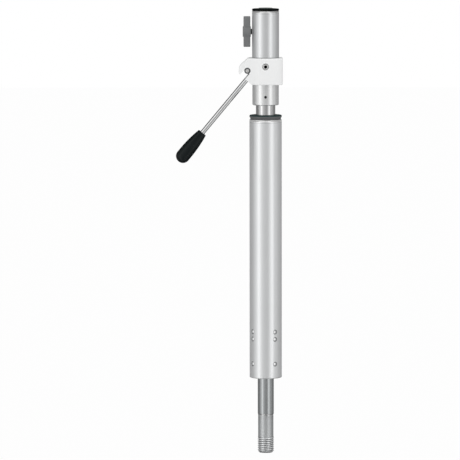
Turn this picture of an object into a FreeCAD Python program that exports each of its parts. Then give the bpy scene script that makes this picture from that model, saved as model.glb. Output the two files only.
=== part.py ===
import FreeCAD, Part
import math
import os
import Sketcher

# Adjustable table pedestal: a gas spring column with a swivelling head, a release lever and a clamp knob.
# Millimetres. The origin is on the column's axis, where the base pin meets the foot of the outer tube.
# +Z is up the column, and the lever points towards -X.

SIZES = {
    # outer tube, staked to the plug inside its foot
    "tube_od": 60,
    "tube_wall": 3,
    "tube_length": 482,
    "tube_edge": 1.5,
    "stake_angle": 36,
    "stake_row_low": 27.2,
    "stake_row_mid": 73.6,
    "stake_row_high": 87.3,
    "stake_mouth": 4.1,
    "stake_floor": 1.6,
    "stake_depth": 2.3,
    "stake_bulge": 1.6,
    "stake_groove_depth": 2.1,
    "stake_groove_half": 5.3,
    # base pin
    "pin_od": 30,
    "pin_length": 141.5,
    "pin_plain_length": 68.3,
    "pin_step": 2.2,
    "relief_od": 28.6,
    "thread_od": 29.8,
    "thread_length": 28.5,
    "thread_runout": 1.2,
    "pin_chamfer": 3,
    "neck_od": 24,
    "neck_length": 60,
    "neck_chamfer": 1,
    # plug, cross pin and the gas spring's fixing
    "plug_length": 95,
    "press_clearance": 0.05,
    "cross_pin_od": 6,
    "cross_pin_inset": 3,
    "cross_pin_height": 46,
    "stud_od": 10,
    "stud_length": 18,
    "tapped_depth": 22,
    "standoff_od": 22,
    "standoff_length": 73,
    "cylinder_nut_height": 6,
    "cylinder_nut_flats": 16,
    # gas spring
    "cylinder_gap": 1,
    "cylinder_wall": 1.5,
    "cylinder_drop": 35,
    "cylinder_base": 12,
    "lip_height": 1.3,
    "lip_reach": 1.6,
    "gland_height": 20,
    "rod_od": 10,
    "rod_rise": 10,
    "rod_bore": 3.2,
    "rod_neck_od": 8,
    "piston_height": 12,
    "piston_rest": 20,
    "piston_ring_width": 3,
    "piston_ring_depth": 1.2,
    "running_clearance": 0.08,
    # release pin in the hollow rod
    "release_od": 3,
    "release_rise": 16.5,
    "release_travel_room": 5.5,
    "button_od": 6,
    "button_height": 1.2,
    "button_gap": 0.1,
    # bushing and wiper in the tube's mouth
    "bush_ring_step": 1.5,
    "bush_ring_height": 3.8,
    "bush_flange_height": 4.8,
    "bush_flange_edge": 1.4,
    "bush_skirt_length": 55,
    "bush_relief_depth": 2,
    "bush_land": 13,
    "slide_clearance": 0.1,
    "wiper_height": 2.5,
    "wiper_depth": 2.2,
    "wiper_cover": 1.1,
    # inner tube and the guide on its lower end
    "inner_od": 36,
    "inner_wall": 3,
    "inner_foot_gap": 4,
    "inner_chamfer": 0.8,
    "guide_height": 30,
    "clip_width": 1.5,
    "clip_depth": 0.6,
    "clip_reach": 2,
    "clip_gap": 0.2,
    "clip_first": 1.5,
    "clip_opening_angle": 30,
    # coupling sleeve between inner tube and head tube
    "sleeve_step": 0.5,
    "sleeve_gap": 18.4,
    "sleeve_edge": 2,
    "sleeve_socket": 31,
    "web_height": 10,
    "shoulder_rise": 2,
    "spigot_length": 40,
    "spigot_wall": 7.95,
    "set_screw_od": 5,
    "set_screw_rise": 15.8,
    "set_screw_sink": 0.4,
    "set_screw_flats": 2.5,
    "set_screw_socket": 2.5,
    "washer_od": 21,
    "washer_height": 1.6,
    "rod_nut_height": 6,
    "rod_nut_flats": 17,
    # head tube and cap
    "head_od": 50,
    "head_wall": 3,
    "head_length": 132,
    "head_chamfer": 0.7,
    "window_drop": 14.6,
    "window_rise": 12.4,
    "window_half": 7,
    "cap_height": 3.8,
    "cap_edge": 1.4,
    "cap_disc_od": 25.5,
    "cap_disc_height": 1.5,
    "cap_disc_edge": 0.8,
    "cap_skirt": 14,
    "cap_wall": 2.5,
    # lever housing
    "housing_drop": 4.4,
    "housing_height": 49,
    "housing_side_wall": 7,
    "housing_front_wall": 6,
    "housing_corner": 12,
    "housing_rim": 2.2,
    "ear_radius": 16.4,
    "ear_cut": 14.7,
    "ear_half": 17,
    "taper_angle": 32.5,
    "taper_start": 14,
    "taper_blend": 18,
    "pivot_reach": 8.66,
    "pivot_rise": 25.9,
    "cheek_gap": 21,
    "roof_wall": 3.2,
    "mouth_left": 9,
    "mouth_right": 18.5,
    "screw_rise": 33.7,
    "counterbore_od": 12,
    "counterbore_depth": 4.3,
    "counterbore_chamfer": 0.9,
    "screw_od": 6,
    "screw_length": 12,
    "screw_head_od": 10,
    "screw_head_height": 4,
    "screw_head_edge": 0.6,
    "screw_flats": 5,
    "screw_socket": 2.6,
    "screw_clearance": 0.3,
    # lever
    "lever_angle": 50.2,
    "rod_offset": 9.87,
    "lever_rod_od": 9,
    "lever_rod_start": 3,
    "lever_rod_end": 179.2,
    "lever_rod_chamfer": 0.8,
    "hub_clearance": 0.3,
    "hub_reach": 12.6,
    "hub_side_wall": 2.8,
    "hub_slot_side": 6.9,
    "hub_step": 1.7,
    "hub_tube_gap": 0.8,
    "arm_half": 5.5,
    "nose_radius": 6,
    "journal_od": 11.6,
    "journal_sink": 0.8,
    "pivot_od": 6.8,
    "pivot_sink": 0.4,
    "pivot_chamfer": 0.4,
    "pivot_centre_od": 1.8,
    "pivot_centre_depth": 0.8,
    "hook_step": 2,
    "hook_side": 6.6,
    "grip_start": 142.8,
    "grip_length": 69.5,
    "grip_neck_od": 16.6,
    "grip_od": 26.2,
    "grip_bore_depth": 38,
    "grip_mouth_edge": 0.8,
    # clamp knob, its screw and the boss in the head tube
    "clamp_rise": 48.75,
    "clamp_screw_od": 8,
    "clamp_screw_tip": 12,
    "clamp_screw_chamfer": 1,
    "boss_neck_od": 11,
    "boss_od": 16,
    "boss_length": 12,
    "boss_hole_clearance": 0.1,
    "clamp_bush_od": 10.5,
    "clamp_bush_gap": 0.3,
    "hub_face_gap": 2.3,
    "knob_hub_length": 15,
    "knob_hub_od": 19.5,
    "knob_hub_edge": 0.8,
    "knob_length": 57,
    "knob_arm_inset": 0.9,
    "knob_arm_depth": 12.7,
    "knob_arm_width": 11,
    "knob_arm_tip": 4.5,
    "knob_arm_edge": 1.4,
}


class Size:
    """A sheet value, or a formula of sheet values, with its number in millimetres or degrees."""

    def __init__(self, text, number):
        self.text = text
        self.number = number

    def __add__(self, other):
        other = as_size(other)
        return Size(f"({self.text} + {other.text})", self.number + other.number)

    def __sub__(self, other):
        other = as_size(other)
        return Size(f"({self.text} - {other.text})", self.number - other.number)

    def __mul__(self, other):
        other = as_size(other)
        return Size(f"({self.text} * {other.text})", self.number * other.number)

    def __truediv__(self, other):
        other = as_size(other)
        return Size(f"({self.text} / {other.text})", self.number / other.number)

    def __neg__(self):
        return Size(f"(0 - {self.text})", -self.number)


def as_size(value):
    return value if isinstance(value, Size) else Size(repr(value), value)


def cosine(angle):
    return Size(f"cos({angle.text})", math.cos(math.radians(angle.number)))


def sine(angle):
    return Size(f"sin({angle.text})", math.sin(math.radians(angle.number)))


def tangent(angle):
    return Size(f"tan({angle.text})", math.tan(math.radians(angle.number)))


def root(value):
    return Size(f"sqrt({value.text})", math.sqrt(value.number))


def arc_sine(value):
    return Size(f"(asin({value.text}) / (1 deg))", math.degrees(math.asin(value.number)))


def arc_tangent(value):
    return Size(f"(atan({value.text}) / (1 deg))", math.degrees(math.atan(value.number)))


ZERO = Size("0", 0)
QUARTER_TURN = Size("90", 90)
THREE_QUARTER_TURN = QUARTER_TURN * 3
doc = FreeCAD.newDocument("TablePedestal")
sheet = doc.addObject("Spreadsheet::Sheet", "Sizes")
for row, (alias, number) in enumerate(SIZES.items(), start=1):
    sheet.set(f"A{row}", alias)
    sheet.set(f"B{row}", str(number))
    sheet.setAlias(f"B{row}", alias)
doc.recompute()


def size(alias):
    return Size(f"Sizes.{alias}", float(sheet.get(alias)))


def half(alias):
    return size(alias) / 2


# Places that several pieces share.

tube_bore = half("tube_od") - size("tube_wall")
plug_top = size("plug_length")
standoff_top = plug_top + size("standoff_length")
cylinder_foot = standoff_top + size("cylinder_nut_height")
inner_bore = half("inner_od") - size("inner_wall")
cylinder_radius = inner_bore - size("cylinder_gap")
cylinder_bore = cylinder_radius - size("cylinder_wall")
cylinder_floor = cylinder_foot + size("cylinder_base")
piston_foot = cylinder_floor + size("piston_rest")
release_foot = piston_foot + size("release_rise")
flange_top = size("tube_length") + size("bush_ring_height") + size("bush_flange_height")
wiper_top = flange_top - size("wiper_cover")
slide_bore = half("inner_od") + size("running_clearance")
sleeve_foot = flange_top + size("sleeve_gap")
set_screw_z = sleeve_foot + size("set_screw_rise")
web_foot = sleeve_foot + size("sleeve_socket")
web_top = web_foot + size("web_height")
cylinder_top = web_foot - size("cylinder_drop")
gland_top = cylinder_top - size("lip_height")
rod_top = web_top + size("rod_rise")
inner_foot = plug_top + size("inner_foot_gap")
clip_groove = half("inner_od") - size("clip_depth")
low_clip = inner_foot + size("clip_first")
guide_foot = low_clip + size("clip_width") + size("clip_gap")
high_clip = guide_foot + size("guide_height") + size("clip_gap")
shoulder_z = web_top + size("shoulder_rise")
spigot_top = shoulder_z + size("spigot_length")
head_bore = half("head_od") - size("head_wall")
head_top = shoulder_z + size("head_length")
sleeve_radius = half("head_od") - size("sleeve_step")
housing_foot = shoulder_z - size("housing_drop")
housing_top = housing_foot + size("housing_height")
housing_bore = half("head_od") + size("press_clearance")
housing_side = half("head_od") + size("housing_side_wall")
housing_front = half("head_od") + size("housing_front_wall")
screw_z = housing_foot + size("screw_rise")
pivot_x = -half("head_od") - size("pivot_reach")
pivot_z = housing_foot + size("pivot_rise")
nose_bottom = pivot_z - size("nose_radius")
button_top = nose_bottom - size("button_gap")
clamp_z = housing_top + size("clamp_rise")
knob_face = half("head_od") + size("hub_face_gap")

# The lever's own directions in the XZ plane: along the rod, and across it towards the column's foot.
along_x = -cosine(size("lever_angle"))
along_z = -sine(size("lever_angle"))


def lever_point(along, across):
    """A point of the XZ plane given along and across the lever, measured from its pivot."""
    return (
        pivot_x + along_x * along - along_z * across,
        pivot_z + along_z * along + along_x * across,
    )


# Tools that every sub-part uses.


def new_body(label):
    body = doc.addObject("PartDesign::Body", label)
    body.Label = label
    return body


def place(body, x=ZERO, y=ZERO, z=ZERO, axis=(0, 0, 1), turn=ZERO):
    """Puts a body at a place bound to the sheet, turned about one direction."""
    body.Placement = FreeCAD.Placement(
        FreeCAD.Vector(x.number, y.number, z.number),
        FreeCAD.Rotation(FreeCAD.Vector(*axis), turn.number),
    )
    body.setExpression("Placement.Base.x", x.text)
    body.setExpression("Placement.Base.y", y.text)
    body.setExpression("Placement.Base.z", z.text)
    body.setExpression("Placement.Rotation.Angle", f"{turn.text} * 1 deg")
    return body


def new_sketch(body, plane, name):
    sketch = body.newObject("Sketcher::SketchObject", name)
    planes = [item for item in body.Origin.OriginFeatures if item.Role == plane]
    sketch.AttachmentSupport = (planes[0], [""])
    sketch.MapMode = "FlatFace"
    return sketch


def bind(sketch, constraint, value):
    index = sketch.addConstraint(constraint)
    sketch.setExpression(f"Constraints[{index}]", value.text)


def bind_point(sketch, element, end, across, up):
    """Fixes one end of a sketch element at two sheet values."""
    if across.text == "0":
        sketch.addConstraint(Sketcher.Constraint("PointOnObject", element, end, -2))
    else:
        bind(sketch, Sketcher.Constraint("DistanceX", -1, 1, element, end, across.number), across)
    if up.text == "0":
        sketch.addConstraint(Sketcher.Constraint("PointOnObject", element, end, -1))
    else:
        bind(sketch, Sketcher.Constraint("DistanceY", -1, 1, element, end, up.number), up)


def arc_centre(start, end, radius):
    """The centre of the short arc between two points; a positive radius turns to the left."""
    chord = end - start
    reach = math.sqrt(max(radius * radius - chord.Length * chord.Length / 4, 0))
    left = FreeCAD.Vector(-chord.y, chord.x, 0).normalize()
    return (start + end) / 2 + left * math.copysign(reach, radius)


def outline(sketch, corners):
    """A closed outline. Each corner is (across, up), or (across, up, radius) where an arc leads on to
    the next corner, with a positive radius for an arc that turns to the left."""
    corners = [(as_size(corner[0]), as_size(corner[1]), *corner[2:]) for corner in corners]
    points = [FreeCAD.Vector(corner[0].number, corner[1].number, 0) for corner in corners]
    normal = FreeCAD.Vector(0, 0, 1)
    ends = []
    for number, corner in enumerate(corners):
        start = points[number]
        end = points[(number + 1) % len(points)]
        if len(corner) == 2:
            element = sketch.addGeometry(Part.LineSegment(start, end))
            ends.append((element, 1, 2))
            continue
        centre = arc_centre(start, end, corner[2].number)
        circle = Part.Circle(centre, normal, abs(corner[2].number))
        first, last = (start, end) if corner[2].number > 0 else (end, start)
        arc = Part.ArcOfCircle(circle, circle.parameter(first), circle.parameter(last))
        element = sketch.addGeometry(arc)
        ends.append((element, 1, 2) if corner[2].number > 0 else (element, 2, 1))
    for number, corner in enumerate(corners):
        element, begin, _ = ends[number]
        before, _, finish = ends[number - 1]
        sketch.addConstraint(Sketcher.Constraint("Coincident", before, finish, element, begin))
        bind_point(sketch, element, begin, corner[0], corner[1])
        if len(corner) == 3:
            radius = corner[2] if corner[2].number > 0 else -corner[2]
            bind(sketch, Sketcher.Constraint("Radius", element, radius.number), radius)


def circle(sketch, across, up, radius):
    element = sketch.addGeometry(
        Part.Circle(FreeCAD.Vector(across.number, up.number, 0), FreeCAD.Vector(0, 0, 1), radius.number)
    )
    bind_point(sketch, element, 3, across, up)
    bind(sketch, Sketcher.Constraint("Radius", element, radius.number), radius)


def hexagon(sketch, across, up, flats):
    """A hexagon given by its width over flats, with two corners on its horizontal centre line."""
    corner = flats / math.sqrt(3)
    points = []
    for step in range(6):
        angle = Size(str(60 * step), 60 * step)
        points.append((across + corner * cosine(angle), up + corner * sine(angle)))
    outline(sketch, points)


def turned(body, name, corners, arc=360):
    """Turns a half section, given as (radius, height) corners, about the body's Z axis."""
    sketch = new_sketch(body, "XZ_Plane", f"{name}_section")
    outline(sketch, corners)
    feature = body.newObject("PartDesign::Revolution", name)
    feature.Profile = sketch
    feature.ReferenceAxis = (sketch, ["V_Axis"])
    feature.Angle = arc
    return feature


def tube_section(inside, outside, bottom, top):
    return [(inside, bottom), (outside, bottom), (outside, top), (inside, top)]


def rod_section(outside, bottom, top):
    return tube_section(ZERO, outside, bottom, top)


def pad(body, name, sketch, length, offset_side=False, symmetric=False):
    feature = body.newObject("PartDesign::Pad", name)
    feature.Profile = sketch
    feature.setExpression("Length", length.text)
    feature.SideType = "Symmetric" if symmetric else "One side"
    feature.Reversed = offset_side
    return feature


def pocket(body, name, sketch, length=None, backwards=False, symmetric=False):
    """Cuts a sketch out of the body: to a length, or through everything on both sides."""
    feature = body.newObject("PartDesign::Pocket", name)
    feature.Profile = sketch
    if length is None:
        feature.Type = "ThroughAll"
        feature.SideType = "Symmetric"
    else:
        feature.setExpression("Length", length.text)
        feature.SideType = "Symmetric" if symmetric else "One side"
        feature.Reversed = backwards
    return feature


def cross_drill(body, name, radius, height, near, far, azimuth="front"):
    """A hole drilled from near to far along the body's -Y (front) or -X (left) direction."""
    plane = "YZ_Plane" if azimuth == "front" else "XZ_Plane"
    sketch = new_sketch(body, plane, f"{name}_section")
    corners = [(-near, height), (-far, height), (-far, height + radius), (-near, height + radius)]
    outline(sketch, corners)
    axis = sketch.addGeometry(
        Part.LineSegment(
            FreeCAD.Vector(-near.number, height.number, 0), FreeCAD.Vector(-far.number, height.number, 0)
        ),
        True,
    )
    bind_point(sketch, axis, 1, -near, height)
    bind_point(sketch, axis, 2, -far, height)
    feature = body.newObject("PartDesign::Groove", name)
    feature.Profile = sketch
    feature.ReferenceAxis = (sketch, ["Axis0"])
    feature.Angle = 360
    return feature


def edges_where(feature, test):
    doc.recompute()
    return [f"Edge{number}" for number, edge in enumerate(feature.Shape.Edges, start=1) if test(edge)]


def dress(body, kind, name, base, measure, test):
    """A fillet or chamfer on the edges of the last feature that pass a test."""
    names = edges_where(base, test)
    if not names:
        raise RuntimeError(f"{body.Label}: no edge for {name}")
    feature = body.newObject(f"PartDesign::{kind}", name)
    feature.Base = (base, names)
    feature.setExpression("Radius" if kind == "Fillet" else "Size", measure.text)
    return feature


NEAR = 1e-4


def rim(radius, height):
    """A test for the full circle of one radius about Z at one height."""

    def test(edge):
        if edge.Degenerated or not isinstance(edge.Curve, Part.Circle):
            return False
        curve = edge.Curve
        return (
            abs(curve.Radius - radius.number) < NEAR
            and abs(curve.Center.z - height.number) < NEAR
            and abs(curve.Center.x) < NEAR
            and abs(curve.Center.y) < NEAR
        )

    return test


def rims(*places):
    tests = [rim(radius, height) for radius, height in places]
    return lambda edge: any(test(edge) for test in tests)


# The column: everything that stands still.


def make_base_pin():
    body = new_body("base_pin")
    plain = half("pin_od")
    relief = half("relief_od")
    thread = half("thread_od")
    neck = half("neck_od")
    plain_end = -size("pin_plain_length")
    thread_start = size("thread_length") - size("pin_length")
    tip = -size("pin_length")
    turned(
        body,
        "pin",
        [
            (ZERO, tip),
            (thread - size("pin_chamfer"), tip),
            (thread, tip + size("pin_chamfer")),
            (thread, thread_start),
            (relief, thread_start + size("thread_runout")),
            (relief, plain_end - size("pin_step")),
            (plain, plain_end),
            (plain, ZERO),
            (neck, ZERO),
            (neck, size("neck_length") - size("neck_chamfer")),
            (neck - size("neck_chamfer"), size("neck_length")),
            (ZERO, size("neck_length")),
        ],
    )
    hole = new_sketch(body, "XZ_Plane", "cross_hole")
    circle(hole, ZERO, size("cross_pin_height"), half("cross_pin_od") + size("press_clearance"))
    pocket(body, "cross_pin_hole", hole)


def make_bottom_plug():
    body = new_body("bottom_plug")
    outside = tube_bore - size("press_clearance")
    floor = outside - size("stake_groove_depth")
    neck_bore = half("neck_od") + size("press_clearance")
    neck_room = size("neck_length") + size("clip_gap")
    tapped = half("stud_od") + size("press_clearance")
    tapped_floor = plug_top - size("tapped_depth")
    corners = [(neck_bore, ZERO), (outside, ZERO)]
    for alias in ("stake_row_low", "stake_row_mid", "stake_row_high"):
        corners.append((outside, size(alias) - size("stake_groove_half")))
        corners.append((floor, size(alias)))
        corners.append((outside, size(alias) + size("stake_groove_half")))
    corners += [
        (outside, plug_top),
        (tapped, plug_top),
        (tapped, tapped_floor),
        (ZERO, tapped_floor),
        (ZERO, neck_room),
        (neck_bore, neck_room),
    ]
    turned(body, "plug", corners)
    hole = new_sketch(body, "XZ_Plane", "cross_hole")
    circle(hole, ZERO, size("cross_pin_height"), half("cross_pin_od") + size("press_clearance"))
    pocket(body, "cross_pin_hole", hole)


def make_cross_pin():
    body = new_body("cross_pin")
    sketch = new_sketch(body, "XZ_Plane", "section")
    circle(sketch, ZERO, size("cross_pin_height"), half("cross_pin_od"))
    circle(sketch, ZERO, size("cross_pin_height"), half("cross_pin_od") / 2)
    pad(body, "pin", sketch, (tube_bore - size("cross_pin_inset")) * 2, symmetric=True)


def make_outer_tube():
    body = new_body("outer_tube")
    outside = half("tube_od")
    tube = turned(body, "tube", tube_section(tube_bore, outside, ZERO, size("tube_length")))
    dress(body, "Fillet", "foot_edge", tube, size("tube_edge"), rim(outside, ZERO))
    bite = size("tube_wall") / 4
    pressed = []
    for alias in ("stake_row_low", "stake_row_mid", "stake_row_high"):
        row = size(alias)
        bulge = new_sketch(body, "XZ_Plane", f"{alias}_bulge_section")
        outline(
            bulge,
            [
                (tube_bore - size("stake_bulge"), row),
                (tube_bore + bite, row),
                (tube_bore + bite, row + size("stake_mouth")),
                (tube_bore, row + size("stake_mouth")),
                (tube_bore - size("stake_bulge"), row + size("stake_floor")),
            ],
        )
        pressed.append(spin(body, "Revolution", f"{alias}_bulge", bulge, row))
        dent = new_sketch(body, "XZ_Plane", f"{alias}_dent_section")
        floor = outside - size("stake_depth")
        slope = (size("stake_mouth") - size("stake_floor")) / size("stake_depth")
        outline(
            dent,
            [
                (floor, row),
                (outside + bite, row),
                (outside + bite, row + size("stake_mouth") + slope * bite),
                (floor, row + size("stake_floor")),
            ],
        )
        pressed.append(spin(body, "Groove", f"{alias}_dent", dent, row))
    pattern = body.newObject("PartDesign::PolarPattern", "stakes")
    pattern.Originals = pressed
    pattern.Axis = (pressed[0].Profile[0], ["V_Axis"])
    pattern.Angle = 360
    pattern.Occurrences = 4
    body.Tip = pattern
    place(body, turn=size("stake_angle"))


def spin(body, kind, name, sketch, row):
    """Turns a sketch about its own horizontal line at one height."""
    reach = size("tube_wall")
    axis = sketch.addGeometry(
        Part.LineSegment(
            FreeCAD.Vector(0, row.number, 0), FreeCAD.Vector(reach.number, row.number, 0)
        ),
        True,
    )
    bind_point(sketch, axis, 1, ZERO, row)
    sketch.addConstraint(Sketcher.Constraint("Horizontal", axis))
    bind(sketch, Sketcher.Constraint("DistanceX", axis, 1, axis, 2, reach.number), reach)
    feature = body.newObject(f"PartDesign::{kind}", name)
    feature.Profile = sketch
    feature.ReferenceAxis = (sketch, ["Axis0"])
    feature.Angle = 360
    return feature


def make_top_bushing():
    body = new_body("top_bushing")
    mouth = size("tube_length")
    ring_top = mouth + size("bush_ring_height")
    flange = half("tube_od")
    ring = flange - size("bush_ring_step")
    skirt = tube_bore - size("press_clearance")
    foot = mouth - size("bush_skirt_length")
    relief = slide_bore + size("bush_relief_depth")
    seat = slide_bore + size("wiper_depth") + size("press_clearance")
    wiper_foot = wiper_top - size("wiper_height")
    land = size("bush_land")
    bushing = turned(
        body,
        "bushing",
        [
            (slide_bore, foot),
            (skirt, foot),
            (skirt, mouth),
            (ring, mouth),
            (ring, ring_top),
            (flange, ring_top),
            (flange, flange_top),
            (slide_bore, flange_top),
            (slide_bore, wiper_top),
            (seat, wiper_top),
            (seat, wiper_foot),
            (slide_bore, wiper_foot),
            (slide_bore, mouth - land / 2),
            (relief, mouth - land),
            (relief, foot + land),
            (slide_bore, foot + land / 2),
        ],
    )
    dress(
        body,
        "Fillet",
        "flange_edge",
        bushing,
        size("bush_flange_edge"),
        rims((flange, flange_top), (flange, ring_top)),
    )


def make_wiper_ring():
    body = new_body("wiper_ring")
    foot = wiper_top - size("wiper_height")
    outside = slide_bore + size("wiper_depth")
    lip = size("wiper_height") / 3
    turned(
        body,
        "ring",
        [
            (slide_bore + lip, foot),
            (outside, foot),
            (outside, wiper_top),
            (slide_bore + lip, wiper_top),
            (slide_bore, wiper_top - lip),
            (slide_bore, foot + lip),
        ],
    )


def make_spring_standoff():
    body = new_body("spring_standoff")
    stud = half("stud_od")
    hole = stud + size("press_clearance")
    chamfer = size("neck_chamfer")
    hole_floor = standoff_top - size("tapped_depth")
    turned(
        body,
        "standoff",
        [
            (ZERO, plug_top - size("stud_length")),
            (stud - chamfer, plug_top - size("stud_length")),
            (stud, plug_top - size("stud_length") + chamfer),
            (stud, plug_top),
            (half("standoff_od"), plug_top),
            (half("standoff_od"), standoff_top),
            (hole, standoff_top),
            (hole, hole_floor),
            (ZERO, hole_floor),
        ],
    )


def nut(body, name, bottom, height, flats, bore):
    """A chamfered hexagon nut on the Z axis."""
    sketch = new_sketch(body, "XY_Plane", f"{name}_section")
    sketch.AttachmentOffset = FreeCAD.Placement(
        FreeCAD.Vector(0, 0, bottom.number), FreeCAD.Rotation(0, 0, 0)
    )
    sketch.setExpression("AttachmentOffset.Base.z", bottom.text)
    hexagon(sketch, ZERO, ZERO, flats)
    circle(sketch, ZERO, ZERO, bore)
    return pad(body, name, sketch, height)


def make_cylinder_nut():
    body = new_body("cylinder_nut")
    bore = half("stud_od") + size("press_clearance")
    nut(body, "nut", standoff_top, size("cylinder_nut_height"), size("cylinder_nut_flats"), bore)


def make_gas_cylinder():
    body = new_body("gas_cylinder")
    stud = half("stud_od")
    chamfer = size("neck_chamfer")
    outside = cylinder_radius
    stud_foot = cylinder_foot - size("stud_length")
    lip = cylinder_bore - size("lip_reach")
    cylinder = turned(
        body,
        "cylinder",
        [
            (ZERO, stud_foot),
            (stud - chamfer, stud_foot),
            (stud, stud_foot + chamfer),
            (stud, cylinder_foot),
            (outside, cylinder_foot),
            (outside, cylinder_top),
            (lip, cylinder_top),
            (lip, gland_top),
            (cylinder_bore, gland_top),
            (cylinder_bore, cylinder_floor),
            (ZERO, cylinder_floor),
        ],
    )
    dress(body, "Fillet", "rolled_lip", cylinder, size("lip_height"), rim(outside, cylinder_top))


def make_rod_gland():
    body = new_body("rod_gland")
    foot = gland_top - size("gland_height")
    bore = half("rod_od") + size("running_clearance")
    turned(body, "gland", tube_section(bore, cylinder_bore - size("press_clearance"), foot, gland_top))


# The gas spring's rod, which rises with the head.


def make_piston_rod():
    body = new_body("piston_rod")
    outside = half("rod_od")
    bore = half("rod_bore")
    neck = half("rod_neck_od")
    shoulder = piston_foot + size("piston_height")
    chamfer = size("neck_chamfer")
    bore_floor = release_foot - size("release_travel_room")
    turned(
        body,
        "rod",
        [
            (ZERO, piston_foot),
            (neck, piston_foot),
            (neck, shoulder),
            (outside, shoulder),
            (outside, rod_top - chamfer),
            (outside - chamfer, rod_top),
            (bore, rod_top),
            (bore, bore_floor),
            (ZERO, bore_floor),
        ],
    )


def make_piston():
    body = new_body("piston")
    outside = cylinder_bore - size("slide_clearance")
    bore = half("rod_neck_od") + size("press_clearance")
    top = piston_foot + size("piston_height")
    middle = piston_foot + size("piston_height") / 2
    ring = size("piston_ring_width") / 2
    floor = outside - size("piston_ring_depth")
    turned(
        body,
        "piston",
        [
            (bore, piston_foot),
            (outside, piston_foot),
            (outside, middle - ring),
            (floor, middle - ring),
            (floor, middle + ring),
            (outside, middle + ring),
            (outside, top),
            (bore, top),
        ],
    )


def make_thrust_washers():
    body = new_body("lower_washer")
    bore = half("rod_od") + size("press_clearance")
    outside = half("washer_od")
    low = web_foot - size("washer_height")
    high = web_top + size("slide_clearance")
    turned(body, "lower", tube_section(bore, outside, low, web_foot))
    upper = new_body("upper_washer")
    turned(upper, "upper", tube_section(bore, outside, high, high + size("washer_height")))


def make_rod_nuts():
    bore = half("rod_od") + size("press_clearance")
    low = web_foot - size("washer_height") - size("rod_nut_height")
    high = web_top + size("slide_clearance") + size("washer_height")
    lower = new_body("lower_rod_nut")
    nut(lower, "nut", low, size("rod_nut_height"), size("rod_nut_flats"), bore)
    upper = new_body("upper_rod_nut")
    nut(upper, "nut", high, size("rod_nut_height"), size("rod_nut_flats"), bore)


def make_release_pin():
    body = new_body("release_pin")
    shank = half("release_od")
    head_foot = button_top - size("button_height")
    pin = turned(
        body,
        "pin",
        [
            (ZERO, release_foot),
            (shank, release_foot),
            (shank, head_foot),
            (half("button_od"), head_foot),
            (half("button_od"), button_top),
            (ZERO, button_top),
        ],
    )
    return pin


# The head, which slides and swivels.


def make_inner_tube():
    body = new_body("inner_tube")
    outside = half("inner_od")
    chamfer = size("inner_chamfer")
    width = size("clip_width")
    turned(
        body,
        "tube",
        [
            (inner_bore, inner_foot),
            (outside - chamfer, inner_foot),
            (outside, inner_foot + chamfer),
            (outside, low_clip),
            (clip_groove, low_clip),
            (clip_groove, low_clip + width),
            (outside, low_clip + width),
            (outside, high_clip),
            (clip_groove, high_clip),
            (clip_groove, high_clip + width),
            (outside, high_clip + width),
            (outside, web_foot),
            (inner_bore, web_foot),
        ],
    )


def make_guide_ring():
    body = new_body("guide_ring")
    inside = half("inner_od") + size("press_clearance")
    outside = tube_bore - size("slide_clearance")
    chamfer = size("neck_chamfer")
    top = guide_foot + size("guide_height")
    turned(
        body,
        "ring",
        [
            (inside, guide_foot),
            (outside - chamfer, guide_foot),
            (outside, guide_foot + chamfer),
            (outside, top - chamfer),
            (outside - chamfer, top),
            (inside, top),
        ],
    )


def make_guide_clips():
    """Two open snap rings, each in its groove of the inner tube."""
    inside = clip_groove + size("press_clearance")
    outside = half("inner_od") + size("clip_reach")
    play = size("press_clearance")
    for label, foot in (("lower_guide_clip", low_clip), ("upper_guide_clip", high_clip)):
        body = new_body(label)
        section = tube_section(inside, outside, foot + play, foot + size("clip_width") - play)
        clip = turned(body, "clip", section)
        clip.setExpression("Angle", (QUARTER_TURN * 4 - size("clip_opening_angle")).text)


def make_coupling_sleeve():
    body = new_body("coupling_sleeve")
    outside = sleeve_radius
    socket = half("inner_od") + size("press_clearance")
    rod_hole = half("rod_od") + size("running_clearance")
    spigot = head_bore - size("press_clearance")
    spigot_bore = spigot - size("spigot_wall")
    sleeve = turned(
        body,
        "sleeve",
        [
            (socket, sleeve_foot),
            (outside, sleeve_foot),
            (outside, shoulder_z),
            (spigot, shoulder_z),
            (spigot, spigot_top),
            (spigot_bore, spigot_top),
            (spigot_bore, web_top),
            (rod_hole, web_top),
            (rod_hole, web_foot),
            (socket, web_foot),
        ],
    )
    dress(body, "Fillet", "foot_edge", sleeve, size("sleeve_edge"), rim(outside, sleeve_foot))
    set_screw = half("set_screw_od") + size("press_clearance")
    reach = outside + size("set_screw_sink")
    cross_drill(body, "set_screw_hole", set_screw, set_screw_z, inner_bore, reach)
    tapped = half("screw_od") + size("press_clearance")
    cross_drill(body, "housing_screw_hole", tapped, screw_z, rod_hole, outside)
    cut_window(body, outside)


def cut_window(body, reach):
    """The opening on the left for the lever's nose."""
    window = new_sketch(body, "XZ_Plane", "window")
    foot = pivot_z - size("window_drop")
    top = pivot_z + size("window_rise")
    outline(window, [(-reach, foot), (ZERO, foot), (ZERO, top), (-reach, top)])
    return pocket(body, "lever_window", window, size("window_half") * 2, symmetric=True)


def make_sleeve_set_screw():
    body = new_body("sleeve_set_screw")
    seat = half("inner_od") + size("press_clearance")
    face = sleeve_radius - size("set_screw_sink")
    turned(body, "screw", rod_section(half("set_screw_od"), seat, face))
    socket = new_sketch(body, "XY_Plane", "socket")
    lift_sketch(socket, face)
    hexagon(socket, ZERO, ZERO, size("set_screw_flats"))
    pocket(body, "hex_socket", socket, size("set_screw_socket"))
    place(body, z=set_screw_z, axis=(1, 0, 0), turn=QUARTER_TURN)


def lift_sketch(sketch, height):
    sketch.AttachmentOffset = FreeCAD.Placement(
        FreeCAD.Vector(0, 0, height.number), FreeCAD.Rotation(0, 0, 0)
    )
    sketch.setExpression("AttachmentOffset.Base.z", height.text)


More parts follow.
